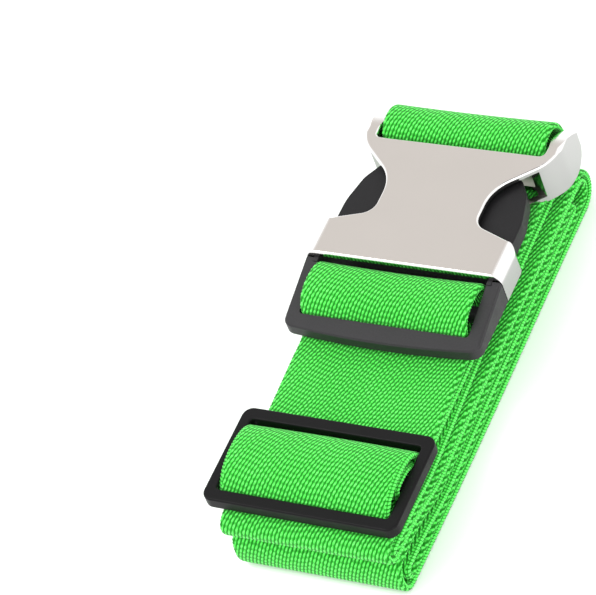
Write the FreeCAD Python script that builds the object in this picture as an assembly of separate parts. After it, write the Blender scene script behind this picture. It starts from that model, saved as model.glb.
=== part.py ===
"""Luggage strap: a folded bundle of wide webbing with a side release buckle and a slider.

Millimetres, +Z up.  The webbing lies folded in a flat bundle that rests on Z = 0.  X runs across
the webbing, Y runs along it from the folds beside the slider (front) to the folds beside the
female buckle (rear), and the origin is under the middle of the bundle.
"""
import FreeCAD, Part
import math
import os
from FreeCAD import Vector

# ---------------------------------------------------------------- webbing and bundle
web_width = 49.5
web_thickness = 1.8
layer_pitch = 2.3
bundle_half_length = 70.7
lower_fold_set_back = 0.6
hairpin_rear_y = 60.0
buckle_front_y = -11.0

# ---------------------------------------------------------------- male buckle
male_half_width = 29.2
male_front_y = -9.8
male_rear_y = 12.1
male_crown = 1.6
male_corner = 3.2
male_bottom_z = 22.3
male_top_z = 30.2
male_front_top_z = 25.3
male_side_bevel_width = 0.8
male_side_bevel_height = 0.9
male_rim_bevel = 0.4
male_window_half_width = 25.25
male_window_front_y = -4.6
male_window_rear_y = 14.2
male_window_corner = 1.0
male_plug_half_width = 26.6
male_plug_rear_y = 18.5
male_plug_bottom_z = 24.3
male_plug_top_z = 30.1
male_bar_front_y = 2.5
male_bar_rear_y = 6.5
male_bar_bottom_z = 22.8
male_bar_top_z = 26.8
male_bar_round = 1.2
tongue_half_width = 3.6
tongue_rear_y = 46.0
tongue_tip_round = 2.4

# ---------------------------------------------------------------- female buckle
shell_half_width = 29.2
shell_mouth_y = 12.4
shell_bottom_z = 22.4
shell_top_z = 32.0
shell_side_round = 3.4
shell_low_round = 1.4
shell_rim_round = 0.7
shell_wall = 1.8
plate_thickness = 1.5
shoulder_y = 24.2
waist_half_width = 15.4
slot_y = 55.2
slot_corner = 1.5
slot_side_web = 0.3
ear_half_width = 29.4
ear_inner_half_width = 25.4
ear_rear_y = 68.2
ear_low_z = 17.0
ear_floor_z = 18.5
ear_floor_front_y = 45.5
ear_side_round = 1.3
ear_section_front_y = 36.0
side_opening_front_y = 41.0
side_opening_rear_y = 50.6
side_opening_low_z = 20.6
mouth_notch_depth = 4.6
web_bar_radius = 2.2
web_bar_y = 61.6
web_bar_z = 26.6

# ---------------------------------------------------------------- webbing sewn to the female buckle
joint_gap = 0.5
female_leg_front_y = -1.5
female_leg_z = 15.0
female_tail_z = 18.15
female_tail_front_y = 16.0
female_loop_front_y = 50.0
female_loop_rise_y = 57.0
female_loop_rear_y = 69.7
female_loop_crown_z = 32.2

# ---------------------------------------------------------------- release arms
arm_bottom_z = 24.3
arm_top_z = 29.1
arm_hinge_x = 19.5
arm_hinge_y = 20.5
arm_root_radius = 1.6
arm_rim_round = 0.5
pad_half_width = 26.7

# ---------------------------------------------------------------- slider
slider_middle_x = 0.5
slider_half_width = 28.3
slider_front_y = -66.8
slider_length = 30.8
slider_bottom_z = 21.8
slider_top_z = 25.2
slider_middle_y = slider_front_y + slider_length / 2
slider_side_bar = 3.2
slider_cross_bar = 3.7
slider_corner = 3.0
slider_window_corner = 1.0
slider_rim_round = 0.55
slider_arch_rise = 6.9
slider_web_bar_half_length = 2.6
slider_web_bar_half_height = 1.0
slider_web_bar_round = 0.9
slider_web_bar_z = 23.7
sewn_ply = web_thickness / 2 + 0.15
sewn_lower_z = slider_web_bar_z - slider_web_bar_half_height - sewn_ply
sewn_pinch_z = sewn_lower_z + web_thickness + 0.05
sewn_tail_y = slider_middle_y + slider_web_bar_half_length + 4.4

# ---------------------------------------------------------------- sewing
thread = 0.3
seam_inset = 3.0
female_seam_front_y = 24.0
female_seam_rear_y = 44.0
slider_seam_depth = 1.4
slider_seam_inset = 0.4

nodes = {}


def along_x(width, edges):
    """Close the edges, drawn in the plane X = -width/2, and sweep them across the width."""
    return Part.Face(Part.Wire(edges)).extrude(Vector(width, 0, 0))


def block(x0, x1, y0, y1, z0, z1):
    return Part.makeBox(abs(x1 - x0), y1 - y0, z1 - z0, Vector(min(x0, x1), y0, z0))


def slab(half_width, y0, y1, z0, z1):
    return block(-half_width, half_width, y0, y1, z0, z1)


def upright_edges(shape, length):
    """The edges of a shape that stand up by more than a length."""
    return [edge for edge in shape.Edges if edge.BoundBox.ZLength > length]


def crosswise_edges(shape, length):
    """The edges of a shape that run across the strap for more than a length."""
    return [edge for edge in shape.Edges if edge.BoundBox.XLength > length]


def layer_z(level):
    """Underside of a webbing layer, counted from 0 at the floor."""
    return level * layer_pitch


def path_steps(points, radii):
    """Straight runs and tangent arcs along a flat route of vectors, one radius per inner point."""
    steps = []
    here = points[0]
    for corner, after, radius in zip(points[1:-1], points[2:], radii):
        if radius == 0:
            steps.append(("line", here, corner))
            here = corner
            continue
        into = (corner - here).normalize()
        out = (after - corner).normalize()
        half_turn = into.getAngle(out) / 2
        cut = radius * math.tan(half_turn)
        arc_start = corner - into * cut
        arc_end = corner + out * cut
        inward = (out - into).normalize()
        centre = corner + inward * (radius / math.cos(half_turn))
        steps.append(("line", here, arc_start))
        steps.append(("arc", arc_start, centre - inward * radius, arc_end, centre))
        here = arc_end
    steps.append(("line", here, points[-1]))
    return steps


def step_edge(kind, *points):
    """A straight edge through two points, or an arc through three."""
    if kind == "line":
        return Part.LineSegment(points[0], points[1]).toShape()
    return Part.Arc(points[0], points[1], points[2]).toShape()


def plan_face(half_outline, radii, z):
    """A flat face from the right half of an outline, (x, y) points that start and end on its far
    and near side, mirrored in X = 0 and closed with straight edges."""
    edges = []
    for side in (1, -1):
        points = [Vector(side * x, y, z) for x, y in half_outline]
        edges += [step_edge(*step) for step in path_steps(points, radii)]
    for x, y in (half_outline[0], half_outline[-1]):
        edges.append(Part.LineSegment(Vector(-x, y, z), Vector(x, y, z)).toShape())
    return Part.Face(Part.Wire(Part.sortEdges(edges)[0]))


def offset_edges(steps, side, x):
    """The route moved sideways by side, as edges at the given X."""
    edges = []
    for step in steps:
        if step[0] == "line":
            along = (step[2] - step[1]).normalize()
            sideways = Vector(0, -along.z, along.y) * side
            ends = [point + sideways + Vector(x, 0, 0) for point in step[1:3]]
            edges.append(step_edge("line", *ends))
        else:
            start, middle, end, centre = step[1:]
            turn = (start - centre).cross(middle - centre).x
            scale = 1 - side * math.copysign(1, turn) / (start - centre).Length
            ring = [centre + (point - centre) * scale + Vector(x, 0, 0) for point in (start, middle, end)]
            edges.append(step_edge("arc", *ring))
    return edges


def ribbon(points, radii, width=web_width, thickness=web_thickness):
    """A flat strap that follows a route of (y, z) points with a rounded corner at each one."""
    x = -width / 2
    steps = path_steps([Vector(0, y, z) for y, z in points], radii)
    one_side = offset_edges(steps, thickness / 2, x)
    other_side = offset_edges(steps, -thickness / 2, x)
    start_cap = Part.LineSegment(other_side[0].Vertexes[0].Point, one_side[0].Vertexes[0].Point).toShape()
    end_cap = Part.LineSegment(one_side[-1].Vertexes[-1].Point, other_side[-1].Vertexes[-1].Point).toShape()
    edges = Part.sortEdges(one_side + [end_cap] + other_side + [start_cap])[0]
    return along_x(width, edges)


def fold(y_centre, low_level, high_level, rearward):
    """The half ring that joins two webbing layers, bulging towards the rear or the front."""
    z_low = layer_z(low_level)
    z_high = layer_z(high_level) + web_thickness
    outer = (z_high - z_low) / 2
    inner = outer - web_thickness
    z_middle = z_low + outer
    x = -web_width / 2
    reach = 1 if rearward else -1

    def arc(radius):
        return Part.Arc(Vector(x, y_centre, z_middle - radius),
                        Vector(x, y_centre + reach * radius, z_middle),
                        Vector(x, y_centre, z_middle + radius)).toShape()

    bottom = Part.LineSegment(Vector(x, y_centre, z_low), Vector(x, y_centre, z_middle - inner)).toShape()
    top = Part.LineSegment(Vector(x, y_centre, z_middle + inner), Vector(x, y_centre, z_high)).toShape()
    return along_x(web_width, Part.sortEdges([arc(outer), top, arc(inner), bottom])[0])


def fold_radius(low_level, high_level):
    return (layer_z(high_level) + web_thickness - layer_z(low_level)) / 2


def add_bundle():
    """Webbing layers 1 (floor) to 7, the run on top, and the folds that join them."""
    rear_y = bundle_half_length - fold_radius(0, 5)
    upper_y = -bundle_half_length + fold_radius(4, 8)
    lower_y = -bundle_half_length + lower_fold_set_back + fold_radius(0, 3)
    hairpin_y = hairpin_rear_y - fold_radius(2, 3)
    half = web_width / 2
    spans = {
        "webbing_layer_1": (lower_y, rear_y),
        "webbing_layer_2": (lower_y, rear_y),
        "webbing_layer_3": (lower_y, hairpin_y),
        "webbing_layer_4": (lower_y, hairpin_y),
        "webbing_layer_5": (upper_y, rear_y),
        "webbing_layer_6": (upper_y, rear_y),
        "webbing_layer_7": (upper_y, female_leg_front_y - joint_gap),
        "webbing_return_leg": (slider_front_y + slider_length, buckle_front_y),
        "webbing_top_run": (upper_y, buckle_front_y),
    }
    for level, (name, (y_front, y_rear)) in enumerate(spans.items()):
        nodes[name] = slab(half, y_front, y_rear, layer_z(level), layer_z(level) + web_thickness)
    nodes["rear_fold_outer"] = fold(rear_y, 0, 5, True)
    nodes["rear_fold_inner"] = fold(rear_y, 1, 4, True)
    nodes["rear_hairpin_fold"] = fold(hairpin_y, 2, 3, True)
    nodes["front_upper_fold_outer"] = fold(upper_y, 4, 8, False)
    nodes["front_upper_fold_inner"] = fold(upper_y, 5, 6, False)
    nodes["front_lower_fold_outer"] = fold(lower_y, 0, 3, False)
    nodes["front_lower_fold_inner"] = fold(lower_y, 1, 2, False)


def add_female_webbing():
    """The sewn loop of webbing on the female buckle's bar, with the leg and the tail it is sewn from."""
    half = web_width / 2
    skin = web_thickness / 2
    nodes["female_webbing_leg"] = slab(half, female_leg_front_y, female_loop_front_y,
                                       female_leg_z - skin, female_leg_z + skin)
    nodes["female_webbing_tail"] = slab(half, female_tail_front_y, female_loop_front_y,
                                        female_tail_z - skin, female_tail_z + skin)
    route = [(female_loop_front_y, female_tail_z), (female_loop_rise_y - 3.1, female_tail_z),
             (female_loop_rise_y, female_tail_z + 4.0), (female_loop_rise_y, female_loop_crown_z),
             (female_loop_rear_y, female_loop_crown_z), (female_loop_rear_y, female_leg_z),
             (female_loop_front_y, female_leg_z)]
    crown_radius = (female_loop_rear_y - female_loop_rise_y) / 2 - 0.05
    nodes["female_webbing_loop"] = ribbon(route, [3.0, 4.5, crown_radius, crown_radius, 5.5])


def stitch_box(x0, x1, y0, y1, z):
    """A sewn rectangle with a cross in it, as flat thread lines lying on the webbing at z."""
    lines = [block(x0, x1, y0, y0 + thread, z, z + thread),
             block(x0, x1, y1 - thread, y1, z, z + thread),
             block(x0, x0 + thread, y0, y1, z, z + thread),
             block(x1 - thread, x1, y0, y1, z, z + thread)]
    seam = lines[0].multiFuse(lines[1:])
    return seam.removeSplitter()


def add_stitching():
    seam_half = web_width / 2 - seam_inset
    tail_top = female_tail_z + web_thickness / 2
    nodes["female_stitching"] = stitch_box(-seam_half, seam_half, female_seam_front_y,
                                           female_seam_rear_y, tail_top)
    sewn_top = sewn_pinch_z + web_thickness / 2
    seam_rear = sewn_tail_y - slider_seam_inset
    nodes["slider_stitching"] = stitch_box(slider_middle_x - seam_half, slider_middle_x + seam_half,
                                           seam_rear - slider_seam_depth, seam_rear, sewn_top)


def shell_outline():
    """Plan of the female shell: wide mouth, narrow waist and two ears past the slot."""
    ear_inner = ear_inner_half_width
    half = [(shell_half_width, shell_mouth_y), (shell_half_width, shoulder_y),
            (waist_half_width, shoulder_y + 4.9), (waist_half_width, slot_y - 13.6),
            (ear_half_width, slot_y - 1.2), (ear_half_width, ear_rear_y),
            (ear_inner, ear_rear_y), (ear_inner, slot_y), (ear_inner - slot_corner - 1, slot_y)]
    return plan_face(half, [3.6, 4.5, 12.0, 12.0, 0, 0, slot_corner], ear_low_z - 1)


def rounded_section(half_width, z_low, z_high, low_round, high_round, y_front, y_rear):
    """A bar along Y with a rectangular section whose corners are rounded."""
    bar = slab(half_width, y_front, y_rear, z_low, z_high)

    def long_edges(z):
        return [edge for edge in bar.Edges
                if all(abs(v.Z - z) < 1e-6 for v in edge.Vertexes)
                and abs(edge.Vertexes[0].X - edge.Vertexes[1].X) < 1e-6]

    bar = bar.makeFillet(high_round, long_edges(z_high))
    return bar.makeFillet(low_round, long_edges(z_low))


def shell_side_profile():
    """Side view of the shell: level plates, and ears that dip below and end in a rounded tip."""
    reach = shell_half_width + 1
    front = shell_mouth_y
    tip = ear_rear_y
    points = [
        ("line", (front, shell_bottom_z), (front, shell_top_z)),
        ("line", (front, shell_top_z), (tip - 11.5, shell_top_z)),
        ("arc", (tip - 11.5, shell_top_z), (tip - 4.8, shell_top_z - 1.2), (tip, shell_top_z - 4.4)),
        ("line", (tip, shell_top_z - 4.4), (tip, shell_top_z - 6.6)),
        ("arc", (tip, shell_top_z - 6.6), (tip - 2.0, ear_low_z + 1.9), (tip - 6.4, ear_low_z)),
        ("arc", (tip - 6.4, ear_low_z), (tip - 10.6, ear_low_z + 0.6), (tip - 15.2, ear_floor_z)),
        ("line", (tip - 15.2, ear_floor_z), (ear_floor_front_y, ear_floor_z + 0.8)),
        ("line", (ear_floor_front_y, ear_floor_z + 0.8), (ear_floor_front_y - 2.0, shell_bottom_z)),
        ("line", (ear_floor_front_y - 2.0, shell_bottom_z), (front, shell_bottom_z)),
    ]
    edges = []
    for kind, *places in points:
        maker = Part.LineSegment if kind == "line" else Part.Arc
        edges.append(maker(*[Vector(-reach, y, z) for y, z in places]).toShape())
    return Part.Face(Part.Wire(Part.sortEdges(edges)[0])).extrude(Vector(2 * reach, 0, 0))


def soft_rimmed_plate(plan, radius):
    """The shell's plan swept up to its top face, with the rims of that face rounded."""
    body = plan.extrude(Vector(0, 0, shell_top_z - plan.BoundBox.ZMin))
    rims = []
    for edge in body.Edges:
        box = edge.BoundBox
        on_top = box.ZMin > shell_top_z - 0.01
        on_ear_tip = box.YMin > ear_rear_y - 0.1
        if on_top and not on_ear_tip:
            rims.append(edge)
    return body.makeFillet(radius, rims)


def add_female_buckle():
    plan = shell_outline()
    shell = soft_rimmed_plate(plan, shell_rim_round)
    section = rounded_section(shell_half_width, ear_low_z - 3, shell_top_z, shell_low_round,
                              shell_side_round, shell_mouth_y, ear_section_front_y)
    section = section.fuse(rounded_section(ear_half_width, ear_low_z - 3, shell_top_z, shell_low_round,
                                           ear_side_round, ear_section_front_y, ear_rear_y))
    shell = shell.common(shell_side_profile()).common(section)
    cavity_low = shell_bottom_z + plate_thickness
    cavity_high = shell_top_z - plate_thickness
    mouth_cavity = rounded_section(shell_half_width - shell_wall, cavity_low, cavity_high, 1.0,
                                   shell_side_round - shell_wall, shell_mouth_y - 1, side_opening_rear_y)
    inner_plan = plan.makeOffset2D(-shell_wall).extrude(Vector(0, 0, cavity_high - plan.BoundBox.ZMin))
    rear_cavity = inner_plan.common(slab(shell_half_width, side_opening_rear_y - 1, slot_y,
                                         cavity_low, cavity_high))
    opening_half_width = ear_inner_half_width - slot_side_web
    rear_opening = slab(opening_half_width, slot_y - shell_wall - 1, slot_y + 1, cavity_low, cavity_high)
    under_plate = inner_plan.common(slab(shell_half_width, shell_mouth_y, slot_y,
                                         ear_low_z - 1, shell_bottom_z))
    under_slot = slab(opening_half_width, slot_y - shell_wall - 1, slot_y + 1, ear_low_z - 1, shell_bottom_z)
    tail_top = female_tail_z + web_thickness / 2
    under_tail = slab(opening_half_width, side_opening_front_y, slot_y, ear_low_z - 1, tail_top + 0.3)
    side_windows = [block(side * (waist_half_width + 1), side * (ear_half_width + 1), side_opening_front_y,
                          side_opening_rear_y, side_opening_low_z, cavity_low + 0.1) for side in (1, -1)]
    notch = slab(male_window_half_width + 0.6, shell_mouth_y - 1, shell_mouth_y + mouth_notch_depth,
                 ear_low_z - 1, cavity_low + 0.1)
    for hollow in (mouth_cavity, rear_cavity, rear_opening, under_plate, under_slot, under_tail, notch,
                   *side_windows):
        shell = shell.cut(hollow)
    bar_reach = ear_inner_half_width + 1.0
    web_bar = Part.makeCylinder(web_bar_radius, 2 * bar_reach,
                                Vector(-bar_reach, web_bar_y, web_bar_z), Vector(1, 0, 0))
    nodes["female_shell"] = shell.cut(web_bar).removeSplitter()
    nodes["female_web_bar"] = web_bar


def male_outer_block():
    """The male frame outside the mouth before its window is cut: rounded corners, crowned front."""
    w = male_half_width
    z = male_bottom_z
    front = male_front_y + male_crown
    rear = male_rear_y
    corners = [Vector(w, front, z), Vector(w, rear, z), Vector(-w, rear, z), Vector(-w, front, z)]
    edges = [Part.LineSegment(first, second).toShape() for first, second in zip(corners, corners[1:])]
    edges.append(Part.Arc(corners[-1], Vector(0, male_front_y, z), corners[0]).toShape())
    body = Part.Face(Part.Wire(edges)).extrude(Vector(0, 0, male_top_z - z))
    front_corners = [edge for edge in upright_edges(body, 1) if edge.BoundBox.YMax < front + 0.1]
    return body.makeFillet(male_corner, front_corners)


def sloping_top(z_front, z_rear, y_front, y_rear):
    """Everything above a plane that falls towards the front, to trim a top face with."""
    x = -male_half_width - 5
    points = [Vector(x, y_front, z_front), Vector(x, y_rear, z_rear),
              Vector(x, y_rear, z_rear + 20), Vector(x, y_front, z_rear + 20)]
    face = Part.Face(Part.makePolygon(points + points[:1]))
    return face.extrude(Vector(-2 * x, 0, 0))


def side_bevel(side):
    """The wedge to cut off one upper side edge of the male frame, along its falling top."""
    depth = male_rear_y + 1 - male_front_y + 1
    fall = (male_top_z - male_front_top_z) * depth / (male_rear_y - male_front_y)
    inner_x = male_half_width - male_side_bevel_width
    slope = male_side_bevel_height / male_side_bevel_width
    points = [(inner_x, 0), (male_half_width + 1, 0), (male_half_width + 1, -male_side_bevel_height - slope)]
    corners = [Vector(side * x, male_front_y - 1, male_front_top_z + z) for x, z in points]
    return Part.Face(Part.makePolygon(corners + corners[:1])).extrude(Vector(0, depth, fall))


def add_male_buckle():
    frame = male_outer_block()
    frame = frame.cut(sloping_top(male_front_top_z, male_top_z, male_front_y - 1, male_rear_y + 1))
    frame = frame.cut(side_bevel(1)).cut(side_bevel(-1))
    front_rim = [edge for edge in frame.Edges
                 if edge.BoundBox.ZMin > male_front_top_z - male_side_bevel_height - 0.6
                 and edge.BoundBox.YMax < male_front_y + male_crown + male_corner + 0.2]
    frame = frame.makeChamfer(male_rim_bevel, front_rim)
    plug = slab(male_plug_half_width, shell_mouth_y - 1.5, male_plug_rear_y, male_plug_bottom_z,
                male_plug_top_z)
    window = slab(male_window_half_width, male_window_front_y, male_window_rear_y, 0, 60)
    window = window.makeFillet(male_window_corner, upright_edges(window, 50))
    nodes["male_frame"] = frame.fuse(plug).cut(window).removeSplitter()
    bar = slab(male_window_half_width, male_bar_front_y, male_bar_rear_y, male_bar_bottom_z, male_bar_top_z)
    nodes["male_web_bar"] = bar.makeFillet(male_bar_round, crosswise_edges(bar, 40))
    tongue = slab(tongue_half_width, male_plug_rear_y, tongue_rear_y, arm_bottom_z, arm_top_z - 1.0)
    tips = [edge for edge in upright_edges(tongue, 1) if edge.BoundBox.YMin > tongue_rear_y - 0.1]
    nodes["male_guide_tongue"] = tongue.makeFillet(tongue_tip_round, tips)
    route = [(buckle_front_y, layer_z(8) + web_thickness / 2), (-3.5, 19.6), (-3.1, 27.0), (3.8, 31.6),
             (11.7, 28.3), (12.3, 20.6), (-2.0, 17.2), (buckle_front_y, layer_z(7) + web_thickness / 2)]
    nodes["webbing_male_loop"] = ribbon(route, [1.7, 3.5, 9.0, 4.0, 2.6, 8.0])


def add_release_arms():
    """Two springy arms, each with a round root and a finger pad that bulges out through the waist."""
    inner = arm_hinge_x - arm_root_radius
    outer = arm_hinge_x + arm_root_radius
    outline = [(outer, arm_hinge_y), (outer, 23.2), (pad_half_width, 25.2), (pad_half_width - 0.1, 34.0),
               (24.6, 42.6), (21.2, 48.2), (17.8, 49.6), (13.0, 44.0), (11.6, 33.0), (14.0, 25.0),
               (inner, 24.6), (inner, arm_hinge_y)]
    radii = [1.2, 0.9, 20.0, 8.0, 1.6, 2.5, 12.0, 12.0, 1.2, 1.2]
    for side, name in ((1, "right_release_arm"), (-1, "left_release_arm")):
        points = [Vector(side * x, y, arm_bottom_z) for x, y in outline]
        root = Part.Arc(points[-1], Vector(side * arm_hinge_x, arm_hinge_y - arm_root_radius, arm_bottom_z),
                        points[0]).toShape()
        wire = Part.Wire([step_edge(*step) for step in path_steps(points, radii)] + [root])
        arm = Part.Face(wire).extrude(Vector(0, 0, arm_top_z - arm_bottom_z))
        rim = [edge for edge in arm.Edges if edge.BoundBox.ZMin > arm_top_z - 0.1]
        nodes[name] = arm.makeFillet(arm_rim_round, rim)


def add_slider():
    rear = slider_front_y + slider_length
    frame = slab(slider_half_width, slider_front_y, rear, slider_bottom_z, slider_top_z)
    frame = frame.makeFillet(slider_corner, upright_edges(frame, 1))
    window = slab(slider_half_width - slider_side_bar, slider_front_y + slider_cross_bar,
                  rear - slider_cross_bar, 0, 60)
    window = window.makeFillet(slider_window_corner, upright_edges(window, 50))
    frame = frame.cut(window)
    rims = [edge for edge in frame.Edges if edge.BoundBox.ZMin > slider_top_z - 0.01]
    nodes["slider_frame"] = frame.makeFillet(slider_rim_round, rims)
    half_y = slider_web_bar_half_length
    half_z = slider_web_bar_half_height
    bar = slab(slider_half_width - slider_side_bar, slider_middle_y - half_y, slider_middle_y + half_y,
               slider_web_bar_z - half_z, slider_web_bar_z + half_z)
    nodes["slider_web_bar"] = bar.makeFillet(slider_web_bar_round, crosswise_edges(bar, 40))
    reach = slider_length / 2 - slider_cross_bar - 1.0
    low = layer_z(8) + web_thickness + 0.4 + web_thickness / 2
    x = -web_width / 2
    arch_edges = []
    for shift in (web_thickness / 2, -web_thickness / 2):
        arch_edges.append(Part.Arc(Vector(x, slider_middle_y - reach - shift, low),
                                   Vector(x, slider_middle_y, low + slider_arch_rise + shift),
                                   Vector(x, slider_middle_y + reach + shift, low)).toShape())
    for end in (-1, 1):
        arch_edges.append(Part.LineSegment(
            Vector(x, slider_middle_y + end * (reach + web_thickness / 2), low),
            Vector(x, slider_middle_y + end * (reach - web_thickness / 2), low)).toShape())
    nodes["slider_webbing_arch"] = along_x(web_width, Part.sortEdges(arch_edges)[0])
    upper = slider_web_bar_z + half_z + sewn_ply
    turn = slider_middle_y - half_y - sewn_ply
    route = [(sewn_tail_y, sewn_lower_z), (turn, sewn_lower_z), (turn, upper),
             (slider_middle_y + half_y, upper), (slider_middle_y + half_y + 1.9, sewn_pinch_z),
             (sewn_tail_y, sewn_pinch_z)]
    nodes["slider_sewn_end"] = ribbon(route, [1.2, 1.2, 1.0, 1.0])
    for name in ("slider_frame", "slider_web_bar", "slider_webbing_arch", "slider_sewn_end"):
        nodes[name].translate(Vector(slider_middle_x, 0, 0))


add_bundle()
add_female_webbing()
add_female_buckle()
add_male_buckle()
add_release_arms()
add_slider()
add_stitching()

os.makedirs("parts", exist_ok=True)
for name, shape in nodes.items():
    if not shape.isValid() or not shape.Solids:
        raise RuntimeError("%s is not a valid solid" % name)
    shape.exportStep(os.path.join("parts", name + ".step"))
    box = shape.BoundBox
    print("%-24s solids %d  X %.1f..%.1f  Y %.1f..%.1f  Z %.2f..%.2f" % (
        name, len(shape.Solids), box.XMin, box.XMax, box.YMin, box.YMax, box.ZMin, box.ZMax))
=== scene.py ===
"""Looks of the luggage strap: webbing, satin nickel shell, moulded plastic, thread and studio."""
import math

import bpy
import numpy as np
from mathutils import Matrix, Vector


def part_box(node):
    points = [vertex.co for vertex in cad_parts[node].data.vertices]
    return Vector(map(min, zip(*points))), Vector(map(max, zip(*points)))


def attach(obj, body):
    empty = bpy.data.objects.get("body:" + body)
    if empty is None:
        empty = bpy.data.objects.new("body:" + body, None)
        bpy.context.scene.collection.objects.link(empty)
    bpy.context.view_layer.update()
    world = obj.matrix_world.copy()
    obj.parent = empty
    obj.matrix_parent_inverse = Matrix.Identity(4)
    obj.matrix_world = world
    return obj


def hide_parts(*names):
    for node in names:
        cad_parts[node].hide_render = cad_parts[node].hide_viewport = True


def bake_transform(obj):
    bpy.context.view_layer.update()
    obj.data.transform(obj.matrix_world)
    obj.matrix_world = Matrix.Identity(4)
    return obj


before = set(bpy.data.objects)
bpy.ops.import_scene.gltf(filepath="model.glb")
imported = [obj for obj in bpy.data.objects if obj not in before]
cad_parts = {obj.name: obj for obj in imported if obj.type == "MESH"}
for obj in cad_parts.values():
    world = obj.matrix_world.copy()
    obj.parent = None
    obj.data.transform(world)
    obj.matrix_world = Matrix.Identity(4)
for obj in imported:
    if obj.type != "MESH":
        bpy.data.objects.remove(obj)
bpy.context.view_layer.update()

MM = 0.001

# ---------------------------------------------------------------- camera, metres and degrees
view_azimuth = 41.15
view_elevation = 45.8
view_roll = 23.8
view_target = (-0.0318, 0.0053, 0.020)
view_distance = 0.950
view_lens = 210.9
sensor_width = 36.0

# ---------------------------------------------------------------- webbing, millimetres
web_width = 49.5
web_thickness = 1.95
sewn_end_thickness = 1.6
web_middle = 0.95               # the strip's middle line, inwards from a CAD fold's outer face
half_turn_handle = 0.667        # length of a half turn's spline handles, as a share of its height
layer_pitch = 2.29
first_layer_z = 1.0
section_step = 0.48             # between two cross-sections, and so half of a selvedge knot
flat_points = 11                # on each face of a cross-section
edge_points = 6                 # round each selvedge
edge_roundness = 1.1            # how far a rounded selvedge reaches, against half of the thickness
selvedge_width = 0.9
selvedge_knot = 0.10
selvedge_swell = 0.05           # a knot's extra thickness, as a share
arch_taper = 4.0                # the arch thins over this length at each of its tucked ends
tucked_thickness = 0.3          # share of the thickness left at a tapered end
taper_curve = 0.7               # below 1 the taper is quick at the tip and slow further in
leg_start = -58.0               # y where the bundle's strip ends and the female buckle's leg begins

# rise of each layer beside the front folds, counted from the floor up
layer_lifts = [0.0, 0.7, 2.0, 3.5, 3.3, 2.7, 2.1, 1.0, 0.0]
front_lift_start = -38.0        # y where they begin to rise
front_lift_length = 20.0        # and the length over which they do

# crown of a strip, how far its middle stands proud of its edges, and the distance along the strip
buckle_crown = 0.45
buckle_crown_reach = 14.0
male_crown_at = 62.0
female_crown_at = 150.0
slider_crown = 0.55

# sideways place of the strip: at the male bar, along the top run, and in the folds below
male_shift = -0.3
run_shift = 2.4
run_shift_start = 90.0
run_shift_length = 60.0
fold_shift = 0.6
fold_shift_start = 150.0
fold_shift_length = 110.0
settling_length = 60.0          # over which the female buckle's leg goes back to the middle
leg_wander = 0.12
leg_wander_length = 30.0

# size, length over 2 pi and phase of each of the slow waves in which the folded layers wander
wanders = [(0.30, 61.0, 0.7), (0.22, 23.7, 2.1)]

# ---------------------------------------------------------------- weave, millimetres and shares
warp_pitch = 0.36
columns_per_rib = 3.0           # each warp column starts a third of a rib after the one beside it
float_share = 0.78              # how much of its rib a warp thread lies on top
rib_pitch = 1.08
rib_rise = 2.75
pick_pitch = 1.45
pick_depth = 0.33               # how deeply the picks notch a rib
yarn_share = 0.25               # relief from single threads, the rest is from the ribs
fuzz_share = 0.35               # loose fibres in the relief, against the weave
knot_row_pitch = 0.95
knot_slant = 0.35
edge_zone = 1.1                 # the selvedge's knots take over this far from the strip's side
edge_blend = 0.25

# exponents below 1 fill out the rounding of a thread, of its float, of a knot and of a row of knots
warp_fullness = 0.6
float_fullness = 0.5
knot_fullness = 0.7
row_fullness = 0.5

# two large unround numbers that turn a rib's number into an offset that looks random
jumble_step = 12.99
jumble_gain = 437.6

# ---------------------------------------------------------------- thread, millimetres
stitch_length = 2.6
stitch_gap = 0.7
thread_thickness = 0.42
thread_flatness = 0.8           # its height against its width
stitch_rise = 0.8               # how far a stitch's middle stands up, in thread thicknesses
stitch_sink = 0.35              # how deep its ends go in, in thread thicknesses
stitch_end = 0.35               # radius at its ends, as a share of the full one
seam_rise = 0.12                # the seam's level above the CAD stitching's underside
stitch_rings = 9
stitch_corners = 8

# ---------------------------------------------------------------- lamps, floor, tent
# name: azimuth and elevation in degrees, distance and size in metres, power in watts
lamps = {
    "key_lamp": (-70.0, 55.0, 1.6, 0.8, 8.0),
    "fill_lamp": (-10.0, 65.0, 1.6, 1.2, 5.0),
    "rim_lamp": (60.0, 28.0, 1.6, 0.7, 5.0),
}
floor_half_size = 3.0
tent_light = 1.4
opening_light = 0.1
opening_edge = (0.95, 0.985)    # upward share of a direction where the dark opening begins and is full


# ================================================================ measures taken from the CAD
def low(node):
    """Lowest corner of a CAD node in millimetres."""
    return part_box(node)[0] / MM


def high(node):
    """Highest corner of a CAD node in millimetres."""
    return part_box(node)[1] / MM


def layer_z(level):
    """Middle height of a webbing layer, counted from 0 at the floor."""
    return first_layer_z + level * layer_pitch


front_reach = low("front_upper_fold_outer")[1] + web_middle
lower_reach = low("front_lower_fold_outer")[1] + web_middle
rear_reach = high("rear_fold_outer")[1] - web_middle
hairpin_reach = high("rear_hairpin_fold")[1] - web_middle
slider_low = low("slider_frame")
slider_high = high("slider_frame")
slider_middle = (slider_low[1] + slider_high[1]) / 2
slider_x = (slider_low[0] + slider_high[0]) / 2


# ================================================================ lines in the (y, z) plane
def spline(points, pieces=24):
    """Smooth line that starts and ends at the end points and rounds every corner between them."""
    points = [np.array(p, float) for p in points]
    line = [points[0]]
    for before, corner, after in zip(points, points[1:], points[2:]):
        start = points[0] if before is points[0] else (before + corner) / 2
        end = points[-1] if after is points[-1] else (corner + after) / 2
        for t in np.linspace(0, 1, pieces + 1)[1:]:
            line.append((1 - t) ** 2 * start + 2 * t * (1 - t) * corner + t * t * end)
    return line


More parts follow.
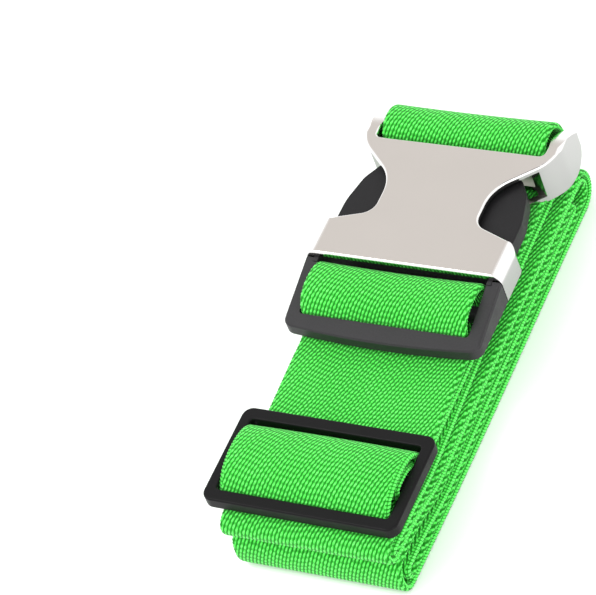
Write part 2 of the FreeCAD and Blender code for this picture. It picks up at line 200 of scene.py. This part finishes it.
def fold(y, z_from, z_to, reach, bulge=0.0, pieces=32):
    """Half turn from one layer to another, reaching to +Y or -Y, its sides swelling by an angle."""
    gap = abs(z_to - z_from)
    side = math.copysign(1, z_to - z_from)
    handle = np.array([reach * math.cos(bulge), -side * math.sin(bulge)]) * gap * half_turn_handle
    back = np.array([handle[0], -handle[1]])
    a = np.array([y, z_from])
    d = np.array([y, z_to])
    b = a + handle
    c = d + back
    line = []
    for t in np.linspace(0, 1, pieces + 1):
        line.append((1 - t) ** 3 * a + 3 * t * (1 - t) ** 2 * b + 3 * t * t * (1 - t) * c + t ** 3 * d)
    return line


def resample(line, step):
    """Points at even distances along a line, and the distance of each one."""
    line = np.array(line, float)
    gaps = np.linalg.norm(np.diff(line, axis=0), axis=1)
    keep = np.concatenate([[True], gaps > 1e-6])
    line = line[keep]
    reached = np.concatenate([[0], np.cumsum(np.linalg.norm(np.diff(line, axis=0), axis=1))])
    count = int(round(reached[-1] / step))
    at = np.linspace(0, reached[-1], count + 1)
    return np.stack([np.interp(at, reached, line[:, k]) for k in (0, 1)], 1), at


def smoothed(values, reach):
    """Each value averaged with its neighbours, the two ends kept."""
    kernel = np.hanning(2 * reach + 3)[1:-1]
    kernel /= kernel.sum()
    padded = np.concatenate([np.repeat(values[:1], reach, 0), values, np.repeat(values[-1:], reach, 0)])
    columns = [np.convolve(padded[:, k], kernel, "valid") for k in range(values.shape[1])]
    out = np.stack(columns, 1)
    out[0], out[-1] = values[0], values[-1]
    return out


# ================================================================ ribbon meshes
def add_mesh(name, vertices, faces):
    """A new smooth-shaded object in the scene, from vertices in metres."""
    mesh = bpy.data.meshes.new(name)
    mesh.from_pydata(vertices, [], faces)
    mesh.update()
    mesh.shade_smooth()
    piece = bpy.data.objects.new(name, mesh)
    bpy.context.scene.collection.objects.link(piece)
    return piece


def web_profile(width, thickness):
    """Cross-section of the webbing as (across, up) points with rounded selvedges, and the weave's
    sideways coordinate at the two ends of each side between two points."""
    half = width / 2
    up = thickness / 2
    edge_reach = up * edge_roundness
    flat = np.linspace(-half + edge_reach, half - edge_reach, flat_points)
    angles = np.linspace(90, -90, edge_points + 2)[1:-1] * math.pi / 180
    points = [(x, up) for x in flat]
    points += [(half - edge_reach + edge_reach * math.cos(a), up * math.sin(a)) for a in angles]
    points += [(x, -up) for x in flat[::-1]]
    points += [(-half + edge_reach - edge_reach * math.cos(a), -up * math.sin(a)) for a in angles]
    points = np.array(points)
    first_right = len(flat) - 1
    first_left = 2 * len(flat) + len(angles) - 1
    sides = []
    for j, here in enumerate(points):
        there = points[(j + 1) % len(points)]
        if first_right <= j <= first_right + len(angles) or first_left <= j:
            hand = math.copysign(1, here[0])
            sides.append([hand * (half - (up - point[1])) for point in (here, there)])
        else:
            sides.append([here[0], there[0]])
    return points, sides


def strip_vertices(path, profile, shift, proud, thin):
    """The cross-section repeated along a path, its selvedges knotted in and out from one to the next."""
    tangent = np.gradient(path, axis=0)
    tangent /= np.linalg.norm(tangent, axis=1)[:, None]
    half = web_width / 2
    across = profile[:, 0]
    outward = np.clip((np.abs(across) - (half - selvedge_width)) / selvedge_width, 0, 1) * np.sign(across)
    arched = 1 - (across / half) ** 2
    rows = []
    for k, (y, z) in enumerate(path):
        beat = 1 if k % 2 else -1
        x = across + outward * (selvedge_knot * beat) + shift[k]
        up = profile[:, 1] * thin[k] * (1 + selvedge_swell * np.abs(outward) * beat) + proud[k] * arched
        rows.append(np.stack([x, y - tangent[k, 1] * up, z + tangent[k, 0] * up], 1))
    return np.concatenate(rows) * MM


def strip_faces(rows, n):
    """Quads between neighbouring cross-sections of n points, and a face at each end."""
    faces = []
    for k in range(rows - 1):
        for j in range(n):
            j2 = (j + 1) % n
            faces.append((k * n + j, k * n + j2, (k + 1) * n + j2, (k + 1) * n + j))
    last = (rows - 1) * n
    faces.append(tuple(range(n))[::-1])
    faces.append(tuple(last + j for j in range(n)))
    return faces


def strip_weave(at, profile, sides, start_at, lean):
    """The weave's (across, along) place at each corner of the faces of a strip."""
    weave = []
    for before, after in zip(at + start_at, at[1:] + start_at):
        for left, right in sides:
            weave += [(lean * left, before), (lean * right, before)]
            weave += [(lean * right, after), (lean * left, after)]
    weave += [(x, start_at) for x in profile[::-1, 0]]
    weave += [(x, at[-1] + start_at) for x in profile[:, 0]]
    return np.array(weave, np.float32)


def ribbon(name, line, sideways, crown=None, thickness=web_thickness, taper=0.0, start_at=0.0, lean=1):
    """A strip of webbing along a (y, z) line, and its length.  sideways and crown are functions of the
    distance along the strip: how far it is shifted across, and how much its middle stands proud.  lean
    is 1 or -1 and turns the weave's diagonal over, so that it leans the same way on every upper side."""
    path, at = resample(line, section_step)
    profile, sides = web_profile(web_width, thickness)
    thin = np.ones(len(at))
    if taper:
        from_end = np.minimum(at, at[-1] - at)
        thin = tucked_thickness + (1 - tucked_thickness) * np.clip(from_end / taper, 0, 1) ** taper_curve
    proud = np.zeros(len(at)) if crown is None else crown(at)
    vertices = strip_vertices(smoothed(path, 2), profile, sideways(at), proud, thin)
    piece = add_mesh(name, vertices.tolist(), strip_faces(len(at), len(profile)))
    weave = piece.data.uv_layers.new(name="weave")
    weave.data.foreach_set("uv", strip_weave(at, profile, sides, start_at, lean).ravel())
    return piece, at[-1]


# ================================================================ materials
class Tree:
    """Short calls that build the nodes of one material."""

    def __init__(self, name):
        self.material = bpy.data.materials.new(name)
        self.material.use_nodes = True
        self.nodes = self.material.node_tree.nodes
        self.links = self.material.node_tree.links
        self.shader = self.nodes["Principled BSDF"]

    def add(self, kind, inputs=(), **settings):
        node = self.nodes.new(kind)
        for key, value in settings.items():
            setattr(node, key, value)
        for key, value in dict(inputs).items():
            self.feed(node.inputs[key], value)
        return node

    def feed(self, socket, value):
        if isinstance(value, bpy.types.NodeSocket):
            self.links.new(value, socket)
        else:
            socket.default_value = value

    def finish(self, **values):
        """Sets or links the shader's inputs, named with _ for a space, and hands over the material."""
        for key, value in values.items():
            self.feed(self.shader.inputs[key.replace("_", " ")], value)
        return self.material

    def position(self):
        return self.add("ShaderNodeNewGeometry").outputs["Position"]

    def math(self, operation, a, b=0.0, c=0.0):
        return self.add("ShaderNodeMath", {0: a, 1: b, 2: c}, operation=operation).outputs[0]

    def power(self, value, exponent):
        return self.math("POWER", value, exponent)

    def hump(self, turns):
        """0 at each whole number, and 1 or -1 by turns halfway between two."""
        return self.math("SINE", self.math("MULTIPLY", turns, math.pi))

    def wave(self, turns):
        """1 at each whole number and -1 halfway between two."""
        return self.math("COSINE", self.math("MULTIPLY", turns, 2 * math.pi))

    def smooth_step(self, value, start, end):
        node = self.add("ShaderNodeMapRange", {"Value": value, "From Min": start, "From Max": end},
                        interpolation_type="SMOOTHSTEP")
        return node.outputs["Result"]

    def spread(self, value, low_end, high_end, start=0.0, end=1.0):
        """A value between start and end laid out evenly between two other values."""
        node = self.add("ShaderNodeMapRange", {"Value": value, "From Min": start, "From Max": end,
                                               "To Min": low_end, "To Max": high_end})
        return node.outputs["Result"]

    def mix(self, share, a, b, blend_type="MIX"):
        node = self.add("ShaderNodeMix", {0: share, 6: a, 7: b}, data_type="RGBA", blend_type=blend_type)
        return node.outputs[2]

    def blend_values(self, share, a, b):
        return self.add("ShaderNodeMix", {0: share, 2: a, 3: b}, data_type="FLOAT").outputs[0]

    def noise(self, vector, scale, detail=2.0, roughness=0.5):
        node = self.add("ShaderNodeTexNoise", {"Vector": vector, "Scale": scale, "Detail": detail,
                                               "Roughness": roughness})
        return node.outputs["Fac"]

    def bump(self, height, distance, strength=1.0):
        node = self.add("ShaderNodeBump", {"Height": height, "Distance": distance, "Strength": strength})
        return node.outputs["Normal"]


def twill_relief(tree, across, along):
    """Warp-faced twill: single warp threads, and the steep ribs they form, notched by the picks."""
    column = tree.math("DIVIDE", across, warp_pitch)
    warp_round = tree.hump(tree.math("FRACT", column))
    start = tree.math("DIVIDE", tree.math("FLOOR", column), columns_per_rib)
    phase = tree.math("FRACT", tree.math("SUBTRACT", tree.math("DIVIDE", along, rib_rise), start))
    float_round = tree.hump(tree.math("MINIMUM", tree.math("DIVIDE", phase, float_share), 1.0))
    yarn = tree.math("MULTIPLY", tree.power(warp_round, warp_fullness),
                     tree.power(tree.math("MAXIMUM", float_round, 0.0), float_fullness))

    rib_number = tree.math("SUBTRACT", tree.math("DIVIDE", across, rib_pitch),
                           tree.math("DIVIDE", along, rib_rise))
    rib = tree.math("MULTIPLY_ADD", tree.wave(rib_number), 0.5, 0.5)
    jumble = tree.math("SINE", tree.math("MULTIPLY", tree.math("ROUND", rib_number), jumble_step))
    scatter = tree.math("FRACT", tree.math("MULTIPLY", jumble, jumble_gain))
    pick = tree.wave(tree.math("ADD", tree.math("DIVIDE", along, pick_pitch), scatter))
    bead = tree.math("MULTIPLY", rib, tree.math("MULTIPLY_ADD", pick, pick_depth, 1 - pick_depth))
    return tree.math("ADD", tree.math("MULTIPLY", yarn, yarn_share),
                     tree.math("MULTIPLY", bead, 1 - yarn_share))


def knot_relief(tree, beyond, along):
    """Rows of slanting knots along a selvedge, at a distance beyond the start of the edge zone."""
    slanted = tree.math("ADD", tree.math("DIVIDE", along, 2 * section_step),
                        tree.math("MULTIPLY", beyond, knot_slant))
    knot = tree.math("ABSOLUTE", tree.hump(slanted))
    row = tree.math("ABSOLUTE", tree.hump(tree.math("DIVIDE", beyond, knot_row_pitch)))
    return tree.math("MULTIPLY", tree.power(knot, knot_fullness), tree.power(row, row_fullness))


def webbing_material():
    """Green polyester webbing: twill with knotted selvedges, with painted shade in the gaps between the
    threads.
    """
    tree = Tree("green_webbing")
    place = tree.add("ShaderNodeUVMap", uv_map="weave").outputs["UV"]
    parts = tree.add("ShaderNodeSeparateXYZ", {0: place})
    across, along = parts.outputs[0], parts.outputs[1]
    beyond = tree.math("SUBTRACT", tree.math("ABSOLUTE", across), web_width / 2 - edge_zone)
    height = tree.blend_values(tree.smooth_step(beyond, 0.0, edge_blend), twill_relief(tree, across, along),
                               knot_relief(tree, beyond, along))

    metres = tree.position()
    worn = tree.noise(metres, scale=45.0, detail=3.0)
    fuzz = tree.noise(metres, scale=2600.0)
    # depth is the share of thread top at a point; where the relief is low, between the threads, the green is
    # painted near black as painted shade
    depth = tree.smooth_step(height, 0.10, 0.80)
    painted_gap_shade = (0.002, 0.19, 0.003, 1)
    top = (0.094, 0.94, 0.096, 1)
    pale = (0.20, 1.0, 0.20, 1)
    duller = (0.90, 0.95, 0.90, 1)
    full = (1.0, 1.0, 1.0, 1)
    shade = tree.mix(depth, painted_gap_shade, tree.mix(tree.smooth_step(fuzz, 0.42, 0.72), top, pale))
    tint = tree.mix(tree.smooth_step(worn, 0.35, 0.7), duller, full)
    relief = tree.math("ADD", height, tree.math("MULTIPLY", fuzz, fuzz_share))
    return tree.finish(Base_Color=tree.mix(1.0, shade, tint, "MULTIPLY"),
                       Roughness=tree.blend_values(depth, 0.85, 0.58),
                       Normal=tree.bump(relief, distance=0.00022),
                       Specular_IOR_Level=0.18, Sheen_Weight=0.12, Sheen_Roughness=0.5)


def nickel_material():
    """Satin nickel plate: fine bead-blasted grain on the flat face, polished where the edges round, with a
    painted highlight in the colour of the rounded edges and the upright walls painted a little darker than
    the top.
    """
    tree = Tree("satin_nickel")
    surface = tree.add("ShaderNodeNewGeometry")
    metres = surface.outputs["Position"]
    facing = tree.add("ShaderNodeSeparateXYZ", {0: surface.outputs["Normal"]}).outputs[2]
    flat_top = tree.smooth_step(facing, 0.93, 0.995)
    rim = tree.smooth_step(facing, 0.10, 0.45)
    grain = tree.noise(metres, scale=5200.0, roughness=0.6)
    cloud = tree.noise(metres, scale=60.0, detail=3.0)
    satin = tree.spread(grain, 0.27, 0.37)
    warm = tree.mix(cloud, (0.452, 0.420, 0.392, 1), (0.476, 0.441, 0.412, 1))
    # painted highlight and shade: the colour follows the facing, much lighter on the rounded edges and a
    # little darker on the upright walls
    painted_edge_light = tree.mix(rim, (0.42, 0.42, 0.41, 1), (0.74, 0.73, 0.72, 1))
    return tree.finish(Base_Color=tree.mix(flat_top, painted_edge_light, warm),
                       Roughness=tree.blend_values(flat_top, 0.13, satin),
                       Normal=tree.bump(grain, distance=0.000012, strength=0.6), Metallic=1.0)


def plastic_material(name, dark, light, gloss, smoothest, roughest):
    """Moulded acetal, satin, with a fine spark-eroded grain and slight rubbing."""
    tree = Tree(name)
    metres = tree.position()
    grain = tree.noise(metres, scale=2400.0, detail=3.0, roughness=0.6)
    rubbed = tree.noise(metres, scale=260.0, detail=4.0)
    shade = tree.mix(grain, (dark, dark * 0.95, dark * 1.02, 1), (light, light * 0.95, light * 1.03, 1))
    return tree.finish(Base_Color=shade, Roughness=tree.spread(rubbed, smoothest, roughest, 0.3, 0.7),
                       Normal=tree.bump(grain, distance=0.00004, strength=0.7), Specular_IOR_Level=gloss)


def steel_material():
    """Drawn steel rod: faint lines along its length."""
    tree = Tree("drawn_steel")
    stretch = (60.0, 4000.0, 4000.0)
    lines = tree.add("ShaderNodeMapping", {"Vector": tree.position(), "Scale": stretch}).outputs[0]
    streak = tree.noise(lines, scale=1.0)
    return tree.finish(Base_Color=tree.mix(streak, (0.36, 0.355, 0.35, 1), (0.47, 0.46, 0.45, 1)),
                       Roughness=tree.spread(streak, 0.22, 0.36),
                       Normal=tree.bump(streak, distance=0.00001), Metallic=1.0)


def thread_material():
    """Twisted sewing thread."""
    tree = Tree("green_thread")
    twist = tree.add("ShaderNodeTexWave", {"Vector": tree.position(), "Scale": 1400.0, "Distortion": 1.0},
                     bands_direction="DIAGONAL").outputs["Fac"]
    return tree.finish(Base_Color=tree.mix(twist, (0.03, 0.50, 0.035, 1), (0.08, 0.78, 0.08, 1)),
                       Normal=tree.bump(twist, distance=0.00006), Roughness=0.6)


def floor_material():
    """Pale studio paper."""
    tree = Tree("studio_paper")
    fibre = tree.noise(tree.position(), scale=700.0, detail=3.0)
    return tree.finish(Base_Color=tree.mix(fibre, (0.93, 0.93, 0.93, 1), (0.96, 0.96, 0.96, 1)),
                       Roughness=0.9, Specular_IOR_Level=0.1)


# ================================================================ routes of the webbing
def fold_start(reach, low_level, high_level, direction):
    """Where the straight layers end so that their half turn reaches as far as it should."""
    return reach - direction * (layer_z(high_level) - layer_z(low_level)) * 0.5


def raised(line):
    """The route with its lower layers lifted beside the front folds, where the return leg has ended and
    the layers above close up."""
    levels = [layer_z(level) for level in range(len(layer_lifts))]
    out = []
    for y, z in resample(line, section_step)[0]:
        share = min(max((front_lift_start - y) / front_lift_length, 0.0), 1.0)
        out.append((y, z + share * share * (3 - 2 * share) * np.interp(z, levels, layer_lifts)))
    return out


def bundle_route():
    """From the slider's end of the return leg, over the male bar, and down through all the folds."""
    male_front = low("webbing_male_loop")[1]
    upper = fold_start(front_reach, 4, 8, -1)
    lower = fold_start(lower_reach, 0, 3, -1)
    rear = fold_start(rear_reach, 0, 5, 1)
    hairpin = fold_start(hairpin_reach, 2, 3, 1)
    inset = 0.6
    overhang = 1.0
    line = [(slider_high[1] - 1.0, layer_z(7))]
    line += spline([(male_front, layer_z(7)), (-2.5, 17.0), (12.0, 19.2), (12.4, 27.1), (8.9, 31.0),
                    (-0.2, 30.9), (-3.6, 26.6), (-3.0, 19.4), (male_front - 1.0, layer_z(8))])
    line += fold(upper, layer_z(8), layer_z(4), -1, bulge=0.06)
    line += fold(rear, layer_z(4), layer_z(1), 1, bulge=0.10)
    line += fold(lower + inset, layer_z(1), layer_z(2), -1)
    line += fold(hairpin, layer_z(2), layer_z(3), 1, bulge=0.25)
    line += fold(lower, layer_z(3), layer_z(0), -1, bulge=0.04)
    line += fold(rear, layer_z(0), layer_z(5), 1, bulge=0.04)
    line += fold(upper - overhang, layer_z(5), layer_z(6), -1, bulge=0.38)
    line.append((leg_start, layer_z(6)))
    return raised(line)


def female_route():
    """From the bundle to the female buckle's bar, round it, and back to the sewn end."""
    leg_z = (low("female_webbing_leg")[2] + high("female_webbing_leg")[2]) / 2
    tail_z = (low("female_webbing_tail")[2] + high("female_webbing_tail")[2]) / 2
    rear = high("female_webbing_loop")[1] - web_middle
    crown = high("female_webbing_loop")[2] - 0.6
    front = low("female_webbing_leg")[1]
    line = raised([(leg_start, layer_z(6)), (front - 6, layer_z(6))])
    line += spline([(front, layer_z(6)), (front + 6, leg_z), (46.0, leg_z)])
    line += spline([(50.0, leg_z), (rear - 1.8, leg_z), (rear + 0.1, leg_z + 4.0), (rear - 0.3, crown - 4.1),
                    (65.6, crown), (59.8, crown), (57.0, crown - 3.2), (57.0, 22.2), (53.4, tail_z),
                    (44.0, tail_z)])
    line.append((low("female_webbing_tail")[1], tail_z))
    return line


def arch_route():
    """Over the slider's bar, both ends tucked in between the frame and the run below it."""
    tuck = (layer_z(8) + web_thickness / 2 + slider_low[2]) / 2
    reach = (slider_high[1] - slider_low[1]) / 2
    shape = [(-reach + 1.0, 0.0), (-reach + 3.4, 0.0), (-reach + 4.4, 1.8), (-8.0, 5.9), (-0.6, 7.5),
             (7.4, 6.0), (reach - 5.3, 1.7), (reach - 4.3, 0.0), (reach - 1.0, 0.0)]
    return spline([(slider_middle + y, tuck + z) for y, z in shape])


def sewn_end_route():
    """The strap's end wrapped round the slider's bar and sewn to itself."""
    bar_low = low("slider_web_bar")
    bar_high = high("slider_web_bar")
    ply = 0.9
    under = bar_low[2] - ply
    over = bar_high[2] + ply
    tail = high("slider_sewn_end")[1]
    return spline([(tail, under + 0.1), (slider_middle, under), (bar_low[1] - ply, under),
                   (bar_low[1] - ply, over), (slider_middle, over + 0.1),
                   (bar_high[1] + 1.2, over - 0.3), (bar_high[1] + 3.0, under + 1.8), (tail, under + 1.75)])


# ================================================================ sideways place and crown of a strip
def drift(at):
    """Layers never lie exactly over each other: the folded part lies further to one side, and wanders."""
    top_run = np.clip((at - run_shift_start) / run_shift_length, 0, 1)
    below = np.clip((at - fold_shift_start) / fold_shift_length, 0, 1)
    wander = sum(size * np.sin(at / length + phase) for size, length, phase in wanders)
    return male_shift + run_shift * top_run + fold_shift * below + wander * below


def female_drift(at):
    """Takes up the bundle's sideways place and settles near the middle of the buckle."""
    settled = np.clip(at / settling_length, 0, 1)
    bundle_end = float(drift(np.array([bundle_length]))[0])
    return bundle_end * (1 - settled) + leg_wander * np.sin(at / leg_wander_length) * settled


def slider_shift(at):
    """The slider's webbing lies in the middle of its frame."""
    return np.full(len(at), slider_x)


def male_crown(at):
    """The strip stands proud in its middle where it bends over the male bar."""
    return buckle_crown * np.exp(-((at - male_crown_at) / buckle_crown_reach) ** 2)


def female_crown(at):
    """The same over the female bar."""
    return buckle_crown * np.exp(-((at - female_crown_at) / buckle_crown_reach) ** 2)


def arch_crown(at):
    """The same over the slider's bar, most at the arch's top."""
    return slider_crown * np.sin(np.pi * at / at[-1]) ** 2


# ================================================================ the webbing pieces
webbing = webbing_material()
thread = thread_material()


def finish_webbing(piece, length, rests_on, *nodes):
    """Material and replaced CAD nodes of a piece of the strip."""
    piece.data.materials.append(webbing)
    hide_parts(*nodes)


layers = ["webbing_layer_%d" % number for number in range(1, 8)]
folds = ["rear_fold_outer", "rear_fold_inner", "rear_hairpin_fold", "front_upper_fold_outer",
         "front_upper_fold_inner", "front_lower_fold_outer", "front_lower_fold_inner"]
bundle, bundle_length = ribbon("bundle_webbing", bundle_route(), drift, male_crown, lean=-1)
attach(bundle, "folded_strap")
finish_webbing(bundle, bundle_length, ["male_web_bar"], "webbing_top_run", "webbing_return_leg",
               "webbing_male_loop", *layers, *folds)

female_leg, female_length = ribbon("female_leg_webbing", female_route(), female_drift, female_crown,
                                   start_at=bundle_length, lean=-1)
finish_webbing(female_leg, female_length, ["female_web_bar"], "female_webbing_leg",
               "female_webbing_tail", "female_webbing_loop")
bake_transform(female_leg)

arch, arch_length = ribbon("slider_arch_webbing", arch_route(), slider_shift, arch_crown, taper=arch_taper)
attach(arch, "slider")
finish_webbing(arch, arch_length, ["slider_web_bar"], "slider_webbing_arch")

sewn_end, sewn_length = ribbon("slider_sewn_end_webbing", sewn_end_route(), slider_shift,
                               thickness=sewn_end_thickness)
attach(sewn_end, "slider")
finish_webbing(sewn_end, sewn_length, ["slider_web_bar"], "slider_sewn_end")


# ================================================================ sewing
def stitch_vertices(middle, along, length):
    """Rings of points round one stitch, which dips into the webbing at both ends."""
    sideways = Vector((-along.y, along.x, 0))
    vertices = []
    for ring in range(stitch_rings):
        t = ring / (stitch_rings - 1)
        centre = middle + along * ((t - 0.5) * length)
        rise = math.sin(math.pi * t)
        lift = thread_thickness * (stitch_rise * rise - stitch_sink)
        radius = thread_thickness / 2 * (stitch_end + (1 - stitch_end) * rise ** 0.5)
        for corner in range(stitch_corners):
            angle = 2 * math.pi * corner / stitch_corners
            up = math.sin(angle) * radius * thread_flatness + lift
            vertices.append((centre + sideways * math.cos(angle) * radius + Vector((0, 0, up))) * MM)
    return vertices


def stitch_faces(base):
    """The skin of one stitch, with both ends closed, whose points are numbered from base."""
    faces = []
    for ring in range(stitch_rings - 1):
        for corner in range(stitch_corners):
            a = base + ring * stitch_corners + corner
            b = base + ring * stitch_corners + (corner + 1) % stitch_corners
            faces.append((a, b, b + stitch_corners, a + stitch_corners))
    last = base + (stitch_rings - 1) * stitch_corners
    faces.append(tuple(base + corner for corner in range(stitch_corners))[::-1])
    faces.append(tuple(last + corner for corner in range(stitch_corners)))
    return faces


def stitch_rows(name, lines, z):
    """Rows of single stitches along straight (x0, y0, x1, y1) lines, lying on the webbing at z."""
    vertices = []
    faces = []
    for x0, y0, x1, y1 in lines:
        start = Vector((x0, y0, z))
        along = Vector((x1, y1, z)) - start
        count = max(1, int(round(along.length / (stitch_length + stitch_gap))))
        pitch = along.length / count
        along.normalize()
        for k in range(count):
            faces += stitch_faces(len(vertices))
            vertices += stitch_vertices(start + along * (pitch * (k + 0.5)), along, pitch - stitch_gap)
    piece = add_mesh(name, vertices, faces)
    piece.data.materials.append(thread)
    return piece


def seam(name, node, body, crossed):
    """The sewn rectangle over a CAD stitching node, with a cross in it where it is a long one."""
    x0, y0, z0 = low(node)
    x1, y1, _ = high(node)
    lines = [(x0, y0, x1, y0), (x0, y1, x1, y1), (x0, y0, x0, y1), (x1, y0, x1, y1)]
    if crossed:
        lines += [(x0, y0, x1, y1), (x0, y1, x1, y0)]
    piece = stitch_rows(name, lines, z0 + seam_rise)
    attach(piece, body)
    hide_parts(node)


seam("female_seam", "female_stitching", "female_buckle", True)
seam("slider_seam", "slider_stitching", "slider", False)


# ================================================================ hard parts keep their CAD shape
def paint(material, *names):
    """Gives one material to CAD nodes that are shown as they are."""
    for name in names:
        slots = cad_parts[name].data.materials
        slots.clear()
        slots.append(material)


charcoal = plastic_material("charcoal_acetal", dark=0.016, light=0.028, gloss=0.25,
                            smoothest=0.38, roughest=0.50)
dark_grey = plastic_material("dark_acetal", dark=0.008, light=0.014, gloss=0.15,
                             smoothest=0.38, roughest=0.50)
black = plastic_material("black_acetal", dark=0.0035, light=0.006, gloss=0.11,
                         smoothest=0.30, roughest=0.42)
paint(nickel_material(), "female_shell")
paint(steel_material(), "female_web_bar")
paint(charcoal, "male_frame", "male_web_bar", "male_guide_tongue")
paint(dark_grey, "left_release_arm", "right_release_arm")
paint(black, "slider_frame", "slider_web_bar")


# ================================================================ floor, light, camera
def direction(azimuth, elevation):
    """Unit vector towards a viewer or a lamp, from angles in degrees."""
    a = math.radians(azimuth)
    e = math.radians(elevation)
    return Vector((math.sin(a) * math.cos(e), -math.cos(a) * math.cos(e), math.sin(e)))


def add_floor():
    """A wide sheet of paper under the strap."""
    size = floor_half_size
    corners = [(-size, -size, 0), (size, -size, 0), (size, size, 0), (-size, size, 0)]
    floor = add_mesh("floor", corners, [(0, 1, 2, 3)])
    floor.data.materials.append(floor_material())


def add_softbox(name, azimuth, elevation, distance, size, power):
    """A square lamp that looks at the strap."""
    light = bpy.data.lights.new(name, "AREA")
    light.shape = "SQUARE"
    light.size = size
    light.energy = power
    lamp = bpy.data.objects.new(name, light)
    towards = direction(azimuth, elevation)
    lamp.location = towards * distance
    lamp.rotation_euler = towards.to_track_quat("Z", "Y").to_euler()
    bpy.context.scene.collection.objects.link(lamp)


def add_world():
    """An even white tent with a small dark opening straight above."""
    world = bpy.data.worlds.new("studio")
    world.use_nodes = True
    nodes = world.node_tree.nodes
    links = world.node_tree.links
    place = nodes.new("ShaderNodeTexCoord")
    split = nodes.new("ShaderNodeSeparateXYZ")
    ramp = nodes.new("ShaderNodeMapRange")
    ramp.interpolation_type = "SMOOTHSTEP"
    ramp.inputs["From Min"].default_value = opening_edge[0]
    ramp.inputs["From Max"].default_value = opening_edge[1]
    ramp.inputs["To Min"].default_value = tent_light
    ramp.inputs["To Max"].default_value = opening_light
    nodes["Background"].inputs["Color"].default_value = (1, 1, 1, 1)
    links.new(place.outputs["Generated"], split.inputs[0])
    links.new(split.outputs[2], ramp.inputs["Value"])
    links.new(ramp.outputs[0], nodes["Background"].inputs["Strength"])
    bpy.context.scene.world = world


def add_camera():
    """A long lens that looks at the target from an azimuth and an elevation, turned by a roll."""
    data = bpy.data.cameras.new("camera")
    data.lens = view_lens
    data.sensor_width = sensor_width
    data.clip_start = 0.05
    data.clip_end = 20.0
    camera = bpy.data.objects.new("camera", data)
    bpy.context.scene.collection.objects.link(camera)
    turn = math.radians(view_azimuth)
    roll = math.radians(view_roll)
    back = direction(view_azimuth, view_elevation)
    level_right = Vector((math.cos(turn), math.sin(turn), 0))
    level_up = back.cross(level_right)
    right = level_right * math.cos(roll) - level_up * math.sin(roll)
    up = level_right * math.sin(roll) + level_up * math.cos(roll)
    place = Matrix((right, up, back)).transposed().to_4x4()
    place.translation = Vector(view_target) + back * view_distance
    camera.matrix_world = place
    bpy.context.scene.camera = camera


add_floor()
for lamp_name, lamp_values in lamps.items():
    add_softbox(lamp_name, *lamp_values)
add_world()
add_camera()
bpy.context.scene.view_settings.view_transform = "Standard"
